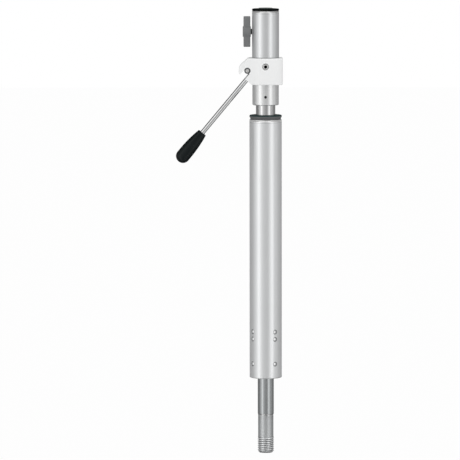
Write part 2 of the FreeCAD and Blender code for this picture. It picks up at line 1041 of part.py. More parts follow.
def make_head_tube():
    body = new_body("head_tube")
    outside = half("head_od")
    chamfer = size("head_chamfer")
    top = head_top
    turned(
        body,
        "tube",
        [
            (head_bore, shoulder_z),
            (outside, shoulder_z),
            (outside, top - chamfer),
            (outside - chamfer, top),
            (head_bore, top),
        ],
    )
    passage = half("screw_od") + size("screw_clearance")
    cross_drill(body, "housing_screw_hole", passage, screw_z, half("rod_od"), outside * 2)
    boss = half("boss_neck_od") + size("boss_hole_clearance")
    cross_drill(body, "boss_hole", boss, clamp_z, half("rod_od"), outside * 2, "left")
    cut_window(body, outside * 2)


def make_top_cap():
    body = new_body("top_cap")
    foot = head_top
    top = foot + size("cap_height")
    disc_top = top + size("cap_disc_height")
    skirt = head_bore - size("press_clearance")
    skirt_foot = foot - size("cap_skirt")
    inside = skirt - size("cap_wall")
    cap = turned(
        body,
        "cap",
        [
            (inside, skirt_foot),
            (skirt, skirt_foot),
            (skirt, foot),
            (half("head_od"), foot),
            (half("head_od"), top),
            (half("cap_disc_od"), top),
            (half("cap_disc_od"), disc_top),
            (ZERO, disc_top),
            (ZERO, foot),
            (inside, foot),
        ],
    )
    flange = dress(
        body,
        "Fillet",
        "flange_edge",
        cap,
        size("cap_edge"),
        rims((half("head_od"), foot), (half("head_od"), top)),
    )
    disc = rim(half("cap_disc_od"), disc_top)
    dress(body, "Fillet", "disc_edge", flange, size("cap_disc_edge"), disc)


def housing_profile(sketch):
    """The housing from the front: a collar, a sloping top and a round ear cut square to the lever."""
    left = -housing_side
    right = housing_side
    bottom = housing_foot
    radius = size("ear_radius")
    run_x = left - pivot_x
    run_z = housing_top - pivot_z
    far = root(run_x * run_x + run_z * run_z)
    bearing = arc_tangent(run_z / run_x)
    touch = bearing + QUARTER_TURN - arc_sine(radius / far)
    touch_x = pivot_x + radius * cosine(touch)
    touch_z = pivot_z + radius * sine(touch)
    cut = size("ear_cut")
    ear_foot = lever_point(cut, -root(radius * radius - cut * cut))
    drop = ear_foot[1] - bottom
    foot_x = ear_foot[0] + drop * tangent(size("lever_angle"))
    outline(
        sketch,
        [
            (left, housing_top),
            (touch_x, touch_z, radius),
            (ear_foot[0], ear_foot[1]),
            (foot_x, bottom),
            (right, bottom),
            (right, housing_top),
        ],
    )


def housing_plan(sketch):
    """What is cut away around the housing seen from above: a rounded collar that tapers to the ear."""
    right = housing_side
    deep = housing_front
    corner = size("housing_corner")
    ear = size("ear_half")
    far = size("ear_radius") * 2 - pivot_x
    angle = size("taper_angle")
    blend = size("taper_blend")
    leg = blend * tangent(angle / 2)
    start = size("taper_start")
    end = start + (deep - ear) / tangent(angle)
    slope_x = leg * cosine(angle)
    slope_y = leg * sine(angle)
    back = [
        (right, deep - corner, corner),
        (right - corner, deep),
        (-start + leg, deep, blend),
        (-start - slope_x, deep - slope_y),
        (-end + slope_x, ear + slope_y, -blend),
        (-end - leg, ear),
        (-far, ear),
    ]
    front = [
        (-far, -ear),
        (-end - leg, -ear, -blend),
        (-end + slope_x, -ear - slope_y),
        (-start - slope_x, -deep + slope_y, blend),
        (-start + leg, -deep),
        (right - corner, -deep, corner),
        (right, corner - deep),
    ]
    outline(sketch, back + front)


def make_lever_housing():
    body = new_body("lever_housing")
    profile = new_sketch(body, "XZ_Plane", "profile")
    housing_profile(profile)
    block = pad(body, "block", profile, housing_front * 2, symmetric=True)
    plan = new_sketch(body, "XY_Plane", "plan")
    housing_plan(plan)
    margin = housing_side * 3
    outline(plan, [(-margin, -margin), (margin, -margin), (margin, margin), (-margin, margin)])
    shaped = pocket(body, "plan_trim", plan)
    dress(body, "Fillet", "rims", shaped, size("housing_rim"), rim_tests())
    bore = new_sketch(body, "XY_Plane", "bore")
    circle(bore, ZERO, ZERO, housing_bore)
    pocket(body, "tube_bore", bore)
    cavity = new_sketch(body, "XZ_Plane", "cavity")
    housing_cavity(cavity)
    pocket(body, "lever_cavity", cavity, size("cheek_gap"), symmetric=True)
    slot = new_sketch(body, "XZ_Plane", "hook_slot")
    hook_slot(slot)
    pocket(body, "hook_slots", slot)
    counterbore(body)
    return block


def rim_tests():
    """The top and bottom rims of the housing."""
    top = housing_top.number
    bottom = housing_foot.number

    def test(edge):
        low = edge.BoundBox.ZMin
        high = edge.BoundBox.ZMax
        return high - low < NEAR and (abs(low - top) < NEAR or abs(low - bottom) < NEAR)

    return test


def housing_cavity(sketch):
    """The space between the cheeks, open to the lever's side and to the window of the head tube."""
    inside = size("ear_radius") - size("roof_wall")
    left = size("mouth_left")
    right = size("mouth_right")
    out = size("ear_radius") + housing_side / 4
    start = root(inside * inside - left * left)
    inner = -half("head_od") + size("roof_wall") / 2
    run = (pivot_x - inner - along_z * right) / cosine(size("lever_angle"))
    corner = lever_point(run, right)
    touch = lever_point(start, -left)
    mouth_left = lever_point(out, -left)
    mouth_right = lever_point(out, right)
    outline(
        sketch,
        [
            (inner, pivot_z + inside),
            (pivot_x, pivot_z + inside, inside),
            (touch[0], touch[1]),
            (mouth_left[0], mouth_left[1]),
            (mouth_right[0], mouth_right[1]),
            (corner[0], corner[1]),
        ],
    )


def hook_slot(sketch):
    """The slot in each cheek: round at the pivot, and open in the lever's direction."""
    radius = half("journal_od") + size("running_clearance")
    step = size("hook_step")
    out = size("ear_radius") * 1.5
    turn_in = lever_point(step, root(radius * radius - step * step))
    back = lever_point(-radius, ZERO)
    far = lever_point(ZERO, -radius)
    far_out = lever_point(out, -radius)
    near_out = lever_point(out, size("hook_side"))
    near = lever_point(step, size("hook_side"))
    outline(
        sketch,
        [
            (turn_in[0], turn_in[1], radius),
            (back[0], back[1], radius),
            (far[0], far[1]),
            (far_out[0], far_out[1]),
            (near_out[0], near_out[1]),
            (near[0], near[1]),
        ],
    )


def counterbore(body):
    """The front counterbore with its chamfered mouth, and the hole for the screw's shank."""
    face = housing_front
    height = screw_z
    chamfer = size("counterbore_chamfer")
    wide = half("counterbore_od")
    floor = face - size("counterbore_depth")
    passage = half("screw_od") + size("screw_clearance")
    sketch = new_sketch(body, "YZ_Plane", "counterbore_section")
    inside = half("head_od") / 2
    outline(
        sketch,
        [
            (-inside, height),
            (-face - chamfer, height),
            (-face - chamfer, height + wide + chamfer * 2),
            (-face, height + wide + chamfer),
            (-face + chamfer, height + wide),
            (-floor, height + wide),
            (-floor, height + passage),
            (-inside, height + passage),
        ],
    )
    spin(body, "Groove", "counterbore", sketch, height)


def screw_blank(body, shank, shank_end, seat, head, face, edge):
    """A cap screw turned about Z, from the tip of its shank to the face of its head."""
    chamfer = edge
    return turned(
        body,
        "screw",
        [
            (ZERO, shank_end),
            (shank - chamfer, shank_end),
            (shank, shank_end + chamfer),
            (shank, seat),
            (head, seat),
            (head, face - edge),
            (head - edge, face),
            (ZERO, face),
        ],
    )


def make_housing_screw():
    body = new_body("housing_screw")
    seat = housing_front - size("counterbore_depth")
    face = seat + size("screw_head_height")
    tip = seat - size("screw_length")
    screw_blank(body, half("screw_od"), tip, seat, half("screw_head_od"), face, size("screw_head_edge"))
    socket = new_sketch(body, "XY_Plane", "socket")
    lift_sketch(socket, face)
    hexagon(socket, ZERO, ZERO, size("screw_flats"))
    pocket(body, "hex_socket", socket, size("screw_socket"))
    place(body, z=screw_z, axis=(1, 0, 0), turn=QUARTER_TURN)


def make_clamp_nut():
    """The threaded boss behind the head tube's wall: a neck through the wall and a curved flange."""
    body = new_body("clamp_nut")
    height = clamp_z
    near = head_bore - size("boss_length")
    neck_end = half("head_od") - size("slide_clearance")
    flange = new_sketch(body, "YZ_Plane", "flange")
    circle(flange, ZERO, height, half("boss_od"))
    pad(body, "flange_pad", flange, head_bore, offset_side=True)
    trim = new_sketch(body, "XY_Plane", "curved_back")
    outside = head_bore - size("press_clearance")
    circle(trim, ZERO, ZERO, outside)
    circle(trim, ZERO, ZERO, half("head_od") * 2)
    pocket(body, "curved_trim", trim)
    front = new_sketch(body, "YZ_Plane", "front_face")
    circle(front, ZERO, height, half("boss_od") * 2)
    pocket(body, "face_trim", front, near, backwards=False)
    neck = new_sketch(body, "XZ_Plane", "neck_section")
    bore = half("clamp_screw_od") + size("running_clearance")
    outline(
        neck,
        [
            (-near, height),
            (-neck_end, height),
            (-neck_end, height + half("boss_neck_od")),
            (-near, height + half("boss_neck_od")),
        ],
    )
    spin(body, "Revolution", "neck", neck, height)
    drill = new_sketch(body, "XZ_Plane", "drill_section")
    reach = half("head_od") * 2
    outline(drill, [(ZERO, height), (-reach, height), (-reach, height + bore), (ZERO, height + bore)])
    spin(body, "Groove", "tapped_hole", drill, height)


# The lever, which turns in the hooks of the housing.


def make_lever_hub():
    """The moulded hub: journals in the hooks, a grip on the rod and an arm with a nose over the valve."""
    body = new_body("lever_hub")
    width = size("cheek_gap") - size("hub_clearance") * 2
    reach = size("hub_reach")
    journal = half("journal_od")
    side = size("rod_offset") + half("lever_rod_od") + size("hub_side_wall")
    slot_side = size("hub_slot_side")
    step = size("hub_step")
    right = -half("head_od") - size("hub_tube_gap")
    low_run = (pivot_x - right - along_z * side) / cosine(size("lever_angle"))
    front = lever_point(journal, ZERO)
    turn_in = lever_point(step, root(journal * journal - step * step))
    step_in = lever_point(step, slot_side)
    end_left = lever_point(reach, slot_side)
    end_right = lever_point(reach, side)
    low = lever_point(low_run, side)
    block = new_sketch(body, "XZ_Plane", "block_profile")
    outline(
        block,
        [
            (pivot_x, pivot_z + journal, journal),
            (front[0], front[1], journal),
            (turn_in[0], turn_in[1]),
            (step_in[0], step_in[1]),
            (end_left[0], end_left[1]),
            (end_right[0], end_right[1]),
            (low[0], low[1]),
            (right, pivot_z),
            (right - size("hub_tube_gap") * 1.5, pivot_z + journal),
        ],
    )
    pad(body, "block", block, width, symmetric=True)
    journals = new_sketch(body, "XZ_Plane", "journals_profile")
    circle(journals, pivot_x, pivot_z, journal)
    length = (size("ear_half") - size("journal_sink")) * 2
    pad(body, "journals", journals, length, symmetric=True)
    nose = size("nose_radius")
    arm = new_sketch(body, "XZ_Plane", "arm_profile")
    outline(
        arm,
        [
            (ZERO, pivot_z - nose, nose),
            (nose, pivot_z, nose),
            (ZERO, pivot_z + nose),
            (pivot_x, pivot_z + journal),
            (pivot_x, pivot_z),
        ],
    )
    pad(body, "arm", arm, size("arm_half") * 2, symmetric=True)
    eye = new_sketch(body, "XZ_Plane", "eye")
    circle(eye, pivot_x, pivot_z, half("pivot_od") + size("press_clearance"))
    pocket(body, "pivot_bore", eye)
    socket_start = size("lever_rod_start") - size("clip_gap")
    socket = new_sketch(body, "XZ_Plane", "rod_socket_section")
    start = lever_point(socket_start, size("rod_offset"))
    end = lever_point(reach * 2, size("rod_offset"))
    bore = half("lever_rod_od") + size("press_clearance")
    start_side = lever_point(socket_start, size("rod_offset") + bore)
    end_side = lever_point(reach * 2, size("rod_offset") + bore)
    outline(socket, [start, end, end_side, start_side])
    axis = sketch_axis(socket, start, end)
    drill = body.newObject("PartDesign::Groove", "rod_socket")
    drill.Profile = socket
    drill.ReferenceAxis = (socket, [axis])
    drill.Angle = 360


def sketch_axis(sketch, start, end):
    """A construction line to turn a section about, and its name."""
    axis = sketch.addGeometry(
        Part.LineSegment(
            FreeCAD.Vector(start[0].number, start[1].number, 0),
            FreeCAD.Vector(end[0].number, end[1].number, 0),
        ),
        True,
    )
    bind_point(sketch, axis, 1, *start)
    bind_point(sketch, axis, 2, *end)
    return "Axis0"


def make_pivot_pin():
    """The pin through the hub's journals, with a centre mark in both ends."""
    body = new_body("pivot_pin")
    end = size("ear_half") - size("pivot_sink")
    radius = half("pivot_od")
    chamfer = size("pivot_chamfer")
    centre = half("pivot_centre_od")
    centre_floor = end - size("pivot_centre_depth")
    turned(
        body,
        "pin",
        [
            (ZERO, -centre_floor),
            (centre, -end),
            (radius - chamfer, -end),
            (radius, chamfer - end),
            (radius, end - chamfer),
            (radius - chamfer, end),
            (centre, end),
            (ZERO, centre_floor),
        ],
    )
    place(body, x=pivot_x, z=pivot_z, axis=(1, 0, 0), turn=QUARTER_TURN)


def place_on_lever(body):
    """Puts a piece that was turned about Z on the lever rod's line, with +Z towards the grip."""
    foot = lever_point(ZERO, size("rod_offset"))
    tilt = THREE_QUARTER_TURN - size("lever_angle")
    return place(body, x=foot[0], z=foot[1], axis=(0, 1, 0), turn=tilt)


def make_lever_rod():
    body = new_body("lever_rod")
    radius = half("lever_rod_od")
    start = size("lever_rod_start")
    end = size("lever_rod_end")
    chamfer = size("lever_rod_chamfer")
    turned(
        body,
        "rod",
        [
            (ZERO, start),
            (radius - chamfer, start),
            (radius, start + chamfer),
            (radius, end - chamfer),
            (radius - chamfer, end),
            (ZERO, end),
        ],
    )
    place_on_lever(body)


def make_lever_grip():
    """The handle: it swells from its neck to a round end as wide as its belly."""
    body = new_body("lever_grip")
    start = size("grip_start")
    end = start + size("grip_length")
    neck = half("grip_neck_od")
    belly = half("grip_od")
    bore = half("lever_rod_od") + size("press_clearance")
    widest = end - belly
    bore_end = start + size("grip_bore_depth")
    swell = belly - neck
    rise = (widest - start) * 0.85
    curve = (rise * rise + swell * swell) / (swell * 2)
    grip = turned(
        body,
        "grip",
        [
            (bore, start),
            (neck, start, curve),
            (belly, start + rise),
            (belly, widest, belly),
            (ZERO, end),
            (ZERO, bore_end),
            (bore, bore_end),
        ],
    )
    dress(body, "Fillet", "mouth_edge", grip, size("grip_mouth_edge"), rim(neck, start))
    place_on_lever(body)


# The clamp knob and its screw, turned about an axis along -X.


def place_on_clamp(body):
    return place(body, z=clamp_z, axis=(0, 1, 0), turn=THREE_QUARTER_TURN)


def make_clamp_bush():
    body = new_body("clamp_bush")
    near = half("head_od") + size("clamp_bush_gap")
    bore = half("clamp_screw_od") + size("running_clearance")
    turned(body, "bush", tube_section(bore, half("clamp_bush_od"), near, knob_face))
    place_on_clamp(body)


def make_wing_knob():
    body = new_body("wing_knob")
    outer = knob_face + size("knob_hub_length")
    bore = half("clamp_screw_od") + size("press_clearance")
    hub = turned(body, "hub", rod_section(half("knob_hub_od"), knob_face, outer))
    dress(
        body,
        "Fillet",
        "hub_edge",
        hub,
        size("knob_hub_edge"),
        rims((half("knob_hub_od"), outer), (half("knob_hub_od"), knob_face)),
    )
    arms = new_sketch(body, "XY_Plane", "arms_outline")
    lift_sketch(arms, knob_face + size("knob_arm_inset"))
    root_half = half("knob_arm_width")
    tip = size("knob_arm_tip")
    reach = half("knob_length")
    outline(
        arms,
        [
            (ZERO, -root_half),
            (reach - tip, -tip, tip),
            (reach, ZERO, tip),
            (reach - tip, tip),
            (ZERO, root_half),
            (tip - reach, tip, tip),
            (-reach, ZERO, tip),
            (tip - reach, -tip),
        ],
    )
    wings = pad(body, "arms", arms, size("knob_arm_depth"))
    low = (knob_face + size("knob_arm_inset")).number
    high = low + size("knob_arm_depth").number

    def arm_rim(edge):
        bottom = edge.BoundBox.ZMin
        flat = edge.BoundBox.ZLength < NEAR
        beyond = edge.BoundBox.XMax > size("knob_hub_od").number
        before = edge.BoundBox.XMin < -size("knob_hub_od").number
        return flat and (beyond or before) and (abs(bottom - low) < NEAR or abs(bottom - high) < NEAR)

    dress(body, "Fillet", "arm_edges", wings, size("knob_arm_edge"), arm_rim)
    hole = new_sketch(body, "XY_Plane", "hole")
    circle(hole, ZERO, ZERO, bore)
    pocket(body, "screw_hole", hole, outer - size("cap_wall"), backwards=True)
    place_on_clamp(body)


def make_clamp_screw():
    body = new_body("clamp_screw")
    radius = half("clamp_screw_od")
    tip = size("clamp_screw_tip")
    end = knob_face + size("knob_hub_length") - size("cap_wall") - size("clip_gap")
    chamfer = size("clamp_screw_chamfer")
    turned(
        body,
        "screw",
        [
            (ZERO, tip),
            (radius - chamfer, tip),
            (radius, tip + chamfer),
            (radius, end),
            (ZERO, end),
        ],
    )
    place_on_clamp(body)


def make_all():
    make_base_pin()
    make_bottom_plug()
    make_cross_pin()
    make_outer_tube()
    make_top_bushing()
    make_wiper_ring()
    make_spring_standoff()
    make_cylinder_nut()
    make_gas_cylinder()
    make_rod_gland()
    make_piston_rod()
    make_piston()
    make_thrust_washers()
    make_rod_nuts()
    make_release_pin()
    make_inner_tube()
    make_guide_ring()
    make_guide_clips()
    make_coupling_sleeve()
    make_sleeve_set_screw()
    make_head_tube()
    make_top_cap()
    make_lever_housing()
    make_housing_screw()
    make_clamp_nut()
    make_lever_hub()
    make_pivot_pin()
    make_lever_rod()
    make_lever_grip()
    make_clamp_bush()
    make_wing_knob()
    make_clamp_screw()


def check_and_export():
    """Refuses a failed feature or an invalid solid, then writes one file for each sub-part."""
    doc.recompute()
    for item in doc.Objects:
        if "Invalid" in item.State or "Error" in item.State:
            raise RuntimeError(f"{item.Label} in {item.State}")
    bodies = [item for item in doc.Objects if item.isDerivedFrom("PartDesign::Body")]
    for body in bodies:
        shape = body.Shape
        if shape.isNull() or not shape.isValid() or len(shape.Solids) != 1:
            raise RuntimeError(f"{body.Label} is not one valid solid")
    os.makedirs("parts", exist_ok=True)
    for body in bodies:
        body.Shape.exportStep(f"parts/{body.Label}.step")
        print(f"{body.Label}: {body.Shape.Volume / 1000:.2f} cm3")


make_all()
check_and_export()
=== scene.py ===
import math

import bmesh
import bpy
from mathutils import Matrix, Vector


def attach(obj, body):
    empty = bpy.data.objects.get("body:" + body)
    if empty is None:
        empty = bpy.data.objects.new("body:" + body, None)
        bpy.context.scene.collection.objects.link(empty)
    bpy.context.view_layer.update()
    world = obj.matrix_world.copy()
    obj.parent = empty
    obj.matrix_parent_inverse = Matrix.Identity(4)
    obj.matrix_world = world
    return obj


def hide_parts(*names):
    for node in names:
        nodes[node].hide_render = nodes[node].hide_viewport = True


# Adjustable table pedestal: the finish of each piece, the base pin's cut thread and a photo studio.
# Metres. The part's frame has its origin where the base pin meets the foot of the outer tube, with +Z up
# the column. The camera looks along +Y.

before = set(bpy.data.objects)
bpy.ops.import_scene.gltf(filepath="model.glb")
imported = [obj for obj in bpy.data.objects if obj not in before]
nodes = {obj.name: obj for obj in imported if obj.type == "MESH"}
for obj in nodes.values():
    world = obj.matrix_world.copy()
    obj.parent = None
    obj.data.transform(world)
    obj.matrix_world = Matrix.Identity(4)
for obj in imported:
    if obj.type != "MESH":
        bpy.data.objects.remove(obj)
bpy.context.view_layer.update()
scene = bpy.context.scene
scene.view_settings.view_transform = "Standard"


def span(name, axis=2):
    """The lowest and highest place of a solid along one axis of the part's own frame, to 0.01 mm."""
    places = [corner.co[axis] for corner in nodes[name].data.vertices]
    return round(min(places), 5), round(max(places), 5)


TUBE_TOP = span("outer_tube")[1]
FLANGE_TOP = span("top_bushing")[1]
HOUSING_TOP = span("lever_housing")[1]
HEAD_TOP = span("head_tube")[1]
CAP_DISC_RISE = 0.0015
CAP_TOP = span("top_cap")[1] - CAP_DISC_RISE
SCREW_Z = sum(span("housing_screw")) / 2

# The base pin from its neck down to its tip. THREAD_TOP is where the thread runs out.

PIN_R = span("base_pin", 0)[1]
PIN_TIP, NECK_TOP = span("base_pin")
NECK_R = 0.012
NECK_CHAMFER = 0.001
EDGE = 0.0002
STEP_TOP = -0.0683
STEP_KNEE = -0.0690
STEP_FOOT = -0.0704
RELIEF_TOP = -0.0706
RELIEF_R = 0.0143
THREAD_TOP = -0.113
THREAD_R = 0.015
THREAD_DEPTH = 0.0018
THREAD_START = 0.0010
RUN_OUT = 0.0008
PITCH = 0.0035
CREST_SHARE = 0.26
FLANK_SHARE = 0.56
TIP_CHAMFER = 0.003
SMOOTHING_RINGS = (-0.020, -0.045)
RELIEF_RING = -0.090
PIN_SIDES = 96
THREAD_ROWS = 132
PLAIN_CREASE = math.radians(10)
THREAD_CREASE = math.radians(38)


# Node helpers for procedural materials.


def empty_tree(owner):
    owner.use_nodes = True
    owner.node_tree.nodes.clear()
    return owner.node_tree


def new_material(name):
    material = bpy.data.materials.new(name)
    tree = empty_tree(material)
    shader = tree.nodes.new("ShaderNodeBsdfPrincipled")
    output = tree.nodes.new("ShaderNodeOutputMaterial")
    tree.links.new(shader.outputs["BSDF"], output.inputs["Surface"])
    return material, tree, shader


def parts_of(material):
    """The node tree of a finished material and its main shader."""
    tree = material.node_tree
    return tree, next(node for node in tree.nodes if node.type == "BSDF_PRINCIPLED")


def feed(tree, socket, value):
    """Links another node's output to the socket, or sets a colour or a number there."""
    if isinstance(value, bpy.types.NodeSocket):
        tree.links.new(value, socket)
    elif isinstance(value, tuple):
        socket.default_value = (*value, 1)
    else:
        socket.default_value = value


def object_coordinates(tree, scale):
    place = tree.nodes.new("ShaderNodeTexCoord")
    mapping = tree.nodes.new("ShaderNodeMapping")
    mapping.inputs["Scale"].default_value = scale
    tree.links.new(place.outputs["Object"], mapping.inputs["Vector"])
    return mapping.outputs["Vector"]


def noise(tree, scale, detail=2.0, roughness=0.5):
    node = tree.nodes.new("ShaderNodeTexNoise")
    node.inputs["Scale"].default_value = 1.0
    node.inputs["Detail"].default_value = detail
    node.inputs["Roughness"].default_value = roughness
    tree.links.new(object_coordinates(tree, scale), node.inputs["Vector"])
    return node.outputs["Fac"]


def spread(tree, value, low, high, source=(0.25, 0.75)):
    """Maps the source range of a value to low and high."""
    node = tree.nodes.new("ShaderNodeMapRange")
    node.inputs["From Min"].default_value = source[0]
    node.inputs["From Max"].default_value = source[1]
    node.inputs["To Min"].default_value = low
    node.inputs["To Max"].default_value = high
    tree.links.new(value, node.inputs["Value"])
    return node.outputs["Result"]


def blend_colours(tree, factor, first, second):
    node = tree.nodes.new("ShaderNodeMix")
    node.data_type = "RGBA"
    feed(tree, node.inputs["A"], first)
    feed(tree, node.inputs["B"], second)
    feed(tree, node.inputs["Factor"], factor)
    return node.outputs["Result"]


def bump(tree, height, strength, distance, onto=None):
    node = tree.nodes.new("ShaderNodeBump")
    node.inputs["Strength"].default_value = strength
    node.inputs["Distance"].default_value = distance
    tree.links.new(height, node.inputs["Height"])
    if onto is not None:
        tree.links.new(onto, node.inputs["Normal"])
    return node.outputs["Normal"]


def calculate(tree, operation, first, second=None):
    node = tree.nodes.new("ShaderNodeMath")
    node.operation = operation
    feed(tree, node.inputs[0], first)
    if second is not None:
        feed(tree, node.inputs[1], second)
    return node.outputs[0]


def one_minus(tree, value):
    return calculate(tree, "SUBTRACT", 1.0, value)


def axes(tree, turn=0.0):
    """The X, Y and Z of a point in the part's own frame, turned about Z."""
    place = tree.nodes.new("ShaderNodeTexCoord")
    mapping = tree.nodes.new("ShaderNodeMapping")
    mapping.inputs["Rotation"].default_value = (0, 0, -turn)
    tree.links.new(place.outputs["Object"], mapping.inputs["Vector"])
    split = tree.nodes.new("ShaderNodeSeparateXYZ")
    tree.links.new(mapping.outputs["Vector"], split.inputs["Vector"])
    return split.outputs["X"], split.outputs["Y"], split.outputs["Z"]


def up_axis(tree):
    """The Z of a point in the part's own frame."""
    return axes(tree)[2]


def length_of(tree, first, second):
    """The length of a two-part offset."""
    squares = [calculate(tree, "POWER", part, 2.0) for part in (first, second)]
    return calculate(tree, "SQRT", calculate(tree, "ADD", *squares))


def step_up(tree, value, start, end):
    """Zero below start and one above end, smooth between them."""
    node = tree.nodes.new("ShaderNodeMapRange")
    node.interpolation_type = "SMOOTHSTEP"
    node.inputs["From Min"].default_value = start
    node.inputs["From Max"].default_value = end
    tree.links.new(value, node.inputs["Value"])
    return node.outputs["Result"]


def band(tree, value, low, high, blur):
    """One between low and high, with soft ends."""
    rise = step_up(tree, value, low - blur, low + blur)
    fall = step_up(tree, value, high - blur, high + blur)
    return calculate(tree, "SUBTRACT", rise, fall)


def disc(tree, off, radius, blur):
    """One nearer than the radius, with a soft edge."""
    return one_minus(tree, step_up(tree, off, radius - blur, radius + blur))


def tint(material, mask, colour, share=1.0):
    """Lays a colour over the material where the mask is."""
    tree, shader = parts_of(material)
    under = shader.inputs["Base Color"].links[0].from_socket
    laid = blend_colours(tree, calculate(tree, "MULTIPLY", mask, share), under, colour)
    tree.links.new(laid, shader.inputs["Base Color"])


def round_edge(material, value, start, end, drop):
    """A bump that rounds the surface off between start and end by the given drop."""
    tree, shader = parts_of(material)
    under = shader.inputs["Normal"].links[0].from_socket
    height = calculate(tree, "MULTIPLY", step_up(tree, value, start, end), -1.0)
    tree.links.new(bump(tree, height, 1.0, drop, under), shader.inputs["Normal"])


def metal(name, dark, light, rough, grain, depth=0.00004, bare=1.0):
    """A metal with fine lines: grain is their frequency along X, Y and Z, bare is 1 without any oxide."""
    material, tree, shader = new_material(name)
    shader.inputs["Metallic"].default_value = bare
    lines = noise(tree, grain, 3.0, 0.6)
    cloud = noise(tree, (18, 18, 11), 3.0, 0.55)
    tree.links.new(blend_colours(tree, cloud, dark, light), shader.inputs["Base Color"])
    tree.links.new(spread(tree, lines, *rough), shader.inputs["Roughness"])
    tree.links.new(bump(tree, lines, 0.25, depth), shader.inputs["Normal"])
    return material


def worn_colour(colour):
    """What a moulded colour becomes where hands rub it."""
    return tuple(min(1.0, part * 1.6 + 0.02) for part in colour)


def plastic(name, dark, light, rough, pebble, depth, specular=0.5, worn=0.0):
    """A moulded plastic: a fine pebbled skin, slightly uneven tone and paler edges where it is worn."""
    material, tree, shader = new_material(name)
    shader.inputs["Specular IOR Level"].default_value = specular
    cloud = noise(tree, (24, 24, 24), 3.0, 0.6)
    skin = noise(tree, (pebble, pebble, pebble), 2.0, 0.5)
    colour = blend_colours(tree, cloud, dark, light)
    if worn:
        geometry = tree.nodes.new("ShaderNodeNewGeometry")
        edge = spread(tree, geometry.outputs["Pointiness"], 0.0, worn, (0.52, 0.6))
        colour = blend_colours(tree, edge, colour, worn_colour(light))
    tree.links.new(colour, shader.inputs["Base Color"])
    tree.links.new(spread(tree, cloud, *rough), shader.inputs["Roughness"])
    tree.links.new(bump(tree, skin, 0.35, depth), shader.inputs["Normal"])
    return material


# The metals. Each has its darker and lighter colour, its range of roughness and the run of its lines.

ALONG_Z = (420, 420, 9)
AROUND_Z = (14, 14, 900)
NO_RUN = (300, 300, 300)

anodised = metal(
    "anodised_aluminium", (0.68, 0.69, 0.695), (0.73, 0.74, 0.745), (0.29, 0.32), ALONG_Z, bare=0.64
)
anodised_head = metal(
    "anodised_head", (0.67, 0.68, 0.685), (0.72, 0.73, 0.735), (0.30, 0.33), ALONG_Z, bare=0.76
)
anodised_turned = metal(
    "turned_aluminium", (0.72, 0.725, 0.725), (0.77, 0.775, 0.775), (0.27, 0.32), AROUND_Z, bare=0.78
)
bright = metal("bright_tube", (0.60, 0.60, 0.60), (0.66, 0.66, 0.66), (0.12, 0.16), ALONG_Z)
steel = metal(
    "turned_steel", (0.39, 0.405, 0.41), (0.45, 0.465, 0.47), (0.20, 0.23), AROUND_Z, 0.000006, 0.93
)
relief_steel = metal(
    "relief_steel", (0.53, 0.545, 0.55), (0.59, 0.605, 0.61), (0.42, 0.48), AROUND_Z, 0.00001, 0.88
)
thread_steel = metal(
    "thread_steel", (0.90, 0.915, 0.92), (0.95, 0.96, 0.965), (0.26, 0.32), AROUND_Z, 0.00001, 0.75
)
drawn_rod = metal(
    "drawn_rod", (0.70, 0.705, 0.705), (0.76, 0.765, 0.765), (0.12, 0.15), NO_RUN, 0.000005
)
satin = metal("satin_steel", (0.76, 0.755, 0.745), (0.82, 0.815, 0.805), (0.5, 0.58), NO_RUN)
screw_satin = metal("screw_steel", (0.80, 0.795, 0.79), (0.86, 0.855, 0.85), (0.5, 0.58), NO_RUN)
stainless = metal("stainless_steel", (0.66, 0.66, 0.655), (0.72, 0.72, 0.715), (0.12, 0.18), NO_RUN)
black_steel = metal("black_steel", (0.035, 0.035, 0.038), (0.05, 0.05, 0.055), (0.3, 0.4), NO_RUN)

# The plastics. After the colours and the roughness come the pebbles' frequency and depth.

white = plastic(
    "white_plastic", (0.74, 0.745, 0.745), (0.77, 0.775, 0.775), (0.42, 0.5), 900, 0.00003, 0.2
)
black = plastic(
    "black_plastic", (0.001, 0.003, 0.0035), (0.008, 0.011, 0.0115), (0.22, 0.40), 1100, 0.00004, 0.16, 0.12
)
black_cap = plastic(
    "black_cap", (0.002, 0.003, 0.003), (0.004, 0.005, 0.005), (0.62, 0.7), 1100, 0.00004, 0.05
)
black_matt = plastic(
    "black_moulding", (0.05, 0.055, 0.057), (0.075, 0.08, 0.083), (0.42, 0.5), 1100, 0.00006
)
black_guide = plastic(
    "black_guide", (0.088, 0.090, 0.092), (0.115, 0.117, 0.119), (0.42, 0.5), 1100, 0.00006, 0.16
)
grey = plastic(
    "grey_plastic", (0.135, 0.14, 0.142), (0.165, 0.17, 0.172), (0.4, 0.5), 900, 0.00006, worn=0.2
)
nylon = plastic("nylon", (0.70, 0.69, 0.64), (0.78, 0.77, 0.72), (0.42, 0.5), 600, 0.00004)
rubber = plastic("rubber", (0.02, 0.02, 0.02), (0.028, 0.028, 0.028), (0.6, 0.75), 800, 0.00008, 0.3)


# Marks at fixed places of a piece: painted shade, painted highlights, a painted reflection and darker
# bands.

STAKE_TURN = math.radians(36)
STAKE_ROWS = (0.0272, 0.0736, 0.0873)
# The grey of the painted shade line at the housing and of the darker band at the tube's foot.
DARK_BAND_GREY = (0.30, 0.31, 0.31)


